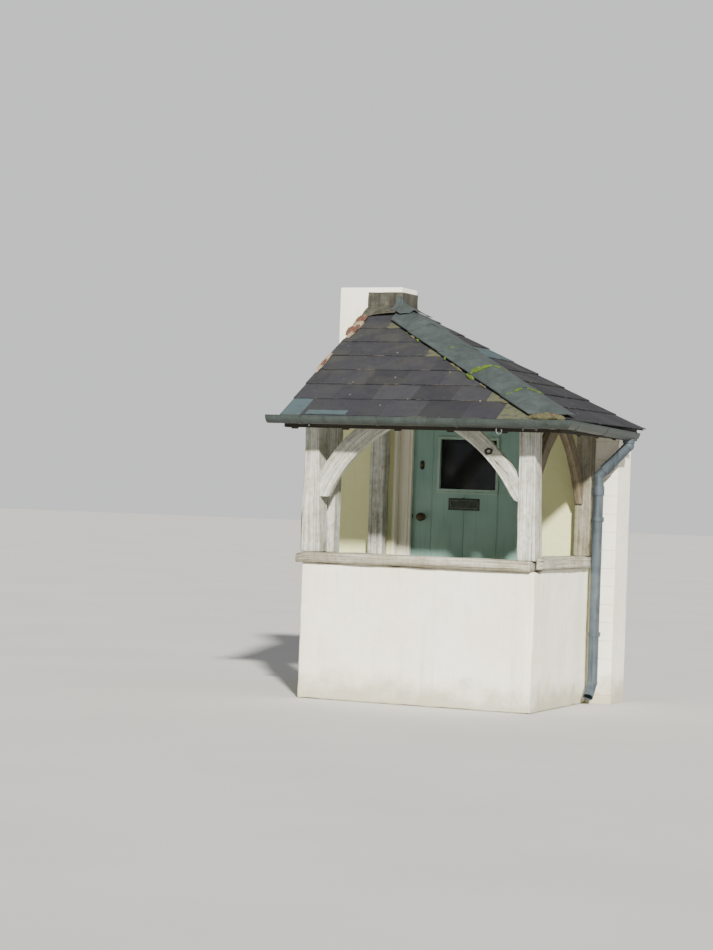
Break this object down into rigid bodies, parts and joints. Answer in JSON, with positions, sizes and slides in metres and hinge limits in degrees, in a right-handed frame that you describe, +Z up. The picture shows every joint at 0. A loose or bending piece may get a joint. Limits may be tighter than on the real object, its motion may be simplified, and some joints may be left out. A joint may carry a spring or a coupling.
{
  "type": "entrance porch",
  "caption": "Open oak-framed entrance porch on a rendered dwarf wall, with curved braces, a hipped slate roof, gutters and the boarded door in its slice of house wall.",
  "frame": {"origin": "on the ground at the outer face of the house wall, midway between the corner posts", "axes": "+X along the house wall to the right as seen from the front, +Y into the house, +Z up"},
  "size_m": [2.4647, 1.8647, 3.09],
  "materials": {
    "render": "limewashed render",
    "oak": "weathered silver-grey",
    "sill_oak": "weathered grey-brown",
    "roof_timber": "dark, sawn",
    "floor_stone": "worn",
    "slate": "riven",
    "lead": "dull, weathered lead",
    "gutter_paint": "satin, weathered",
    "pipe_paint": "satin, weathered",
    "frame_paint": "cream gloss paint",
    "door_paint": "sage green eggshell paint",
    "bronze": "dark bronze",
    "glass": "clear"
  },
  "bodies": {
    "porch": {"front_dwarf_wall": "render", "side_dwarf_wall": "render", "front_sill": "sill_oak", "side_sill": "sill_oak", "porch_floor": "floor_stone", "front_left_post": "oak", "front_right_post": "oak", "entrance_post": "oak", "rear_left_post": "oak", "rear_right_post": "oak", "front_plate": "oak", "side_plate": "oak", "left_plate": "oak", "front_left_brace": "oak", "front_right_brace": "oak", "side_front_brace": "oak", "side_rear_brace": "oak", "hip_rafter": "roof_timber", "front_rafters": "roof_timber", "side_rafters": "roof_timber", "front_boarding": "roof_timber", "side_boarding": "roof_timber", "front_slates": "slate", "side_slates": "slate", "hip_cover": "lead", "wall_flashing": "lead", "front_fascia": "roof_timber", "side_fascia": "roof_timber", "verge_board": "roof_timber", "front_gutter": "gutter_paint", "side_gutter": "gutter_paint", "gutter_brackets": "gutter_paint", "downpipe": "pipe_paint", "wing_wall": "render", "wall_over_door": "render", "wall_right": "render", "door_frame": "frame_paint", "threshold": "sill_oak", "frame_hinges": "bronze"},
    "door": {"door_leaf": "door_paint", "door_glass": "glass", "glazing_bead": "door_paint", "letter_plate": "bronze", "door_knob": "bronze", "night_latch": "bronze", "door_hinges": "bronze"}
  },
  "joints": [
    {"name": "front_door", "type": "hinge", "parent": "porch", "child": "door", "pos_m": [0.3285, 0.15, 1.2], "axis": [0, 0, -1], "range_deg": [0, 90]}
  ]
}
